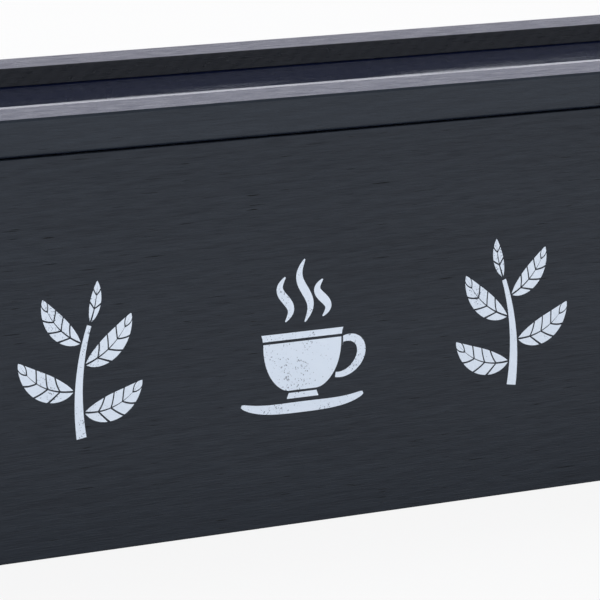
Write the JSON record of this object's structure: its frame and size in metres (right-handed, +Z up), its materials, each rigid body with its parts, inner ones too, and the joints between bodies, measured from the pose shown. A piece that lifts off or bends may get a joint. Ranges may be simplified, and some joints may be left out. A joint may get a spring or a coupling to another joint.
{
  "type": "tea bag organizer box",
  "caption": "Long low box of black-stained wood with a row of compartments for tea bags and a hinged, framed glass lid.",
  "frame": {"origin": "middle of the underside, on the surface that the box stands on", "axes": "+X along the row of compartments to the right as seen from the front, +Y from the front to the hinged back, +Z up"},
  "size_m": [0.43, 0.09, 0.09],
  "materials": {
    "stained_wood": "black stain under a satin varnish",
    "clear_glass": "clear, polished",
    "plated_steel": "bright nickel plate"
  },
  "bodies": {
    "box": {"front_panel": "stained_wood", "back_panel": "stained_wood", "left_side_panel": "stained_wood", "right_side_panel": "stained_wood", "bottom_panel": "stained_wood", "divider_1": "stained_wood", "divider_2": "stained_wood", "divider_3": "stained_wood", "divider_4": "stained_wood", "divider_5": "stained_wood", "left_hinge_box_leaf": "plated_steel", "left_hinge_pin": "plated_steel", "left_hinge_box_screws": "plated_steel", "right_hinge_box_leaf": "plated_steel", "right_hinge_pin": "plated_steel", "right_hinge_box_screws": "plated_steel"},
    "lid": {"lid_front_rail": "stained_wood", "lid_back_rail": "stained_wood", "lid_left_rail": "stained_wood", "lid_right_rail": "stained_wood", "window_pane": "clear_glass", "left_hinge_lid_leaf": "plated_steel", "left_hinge_lid_screws": "plated_steel", "right_hinge_lid_leaf": "plated_steel", "right_hinge_lid_screws": "plated_steel"}
  },
  "joints": [
    {"name": "lid_hinge", "type": "hinge", "parent": "box", "child": "lid", "pos_m": [0, 0.043, 0.08225], "axis": [-1, 0, 0], "range_deg": [0, 100]}
  ]
}
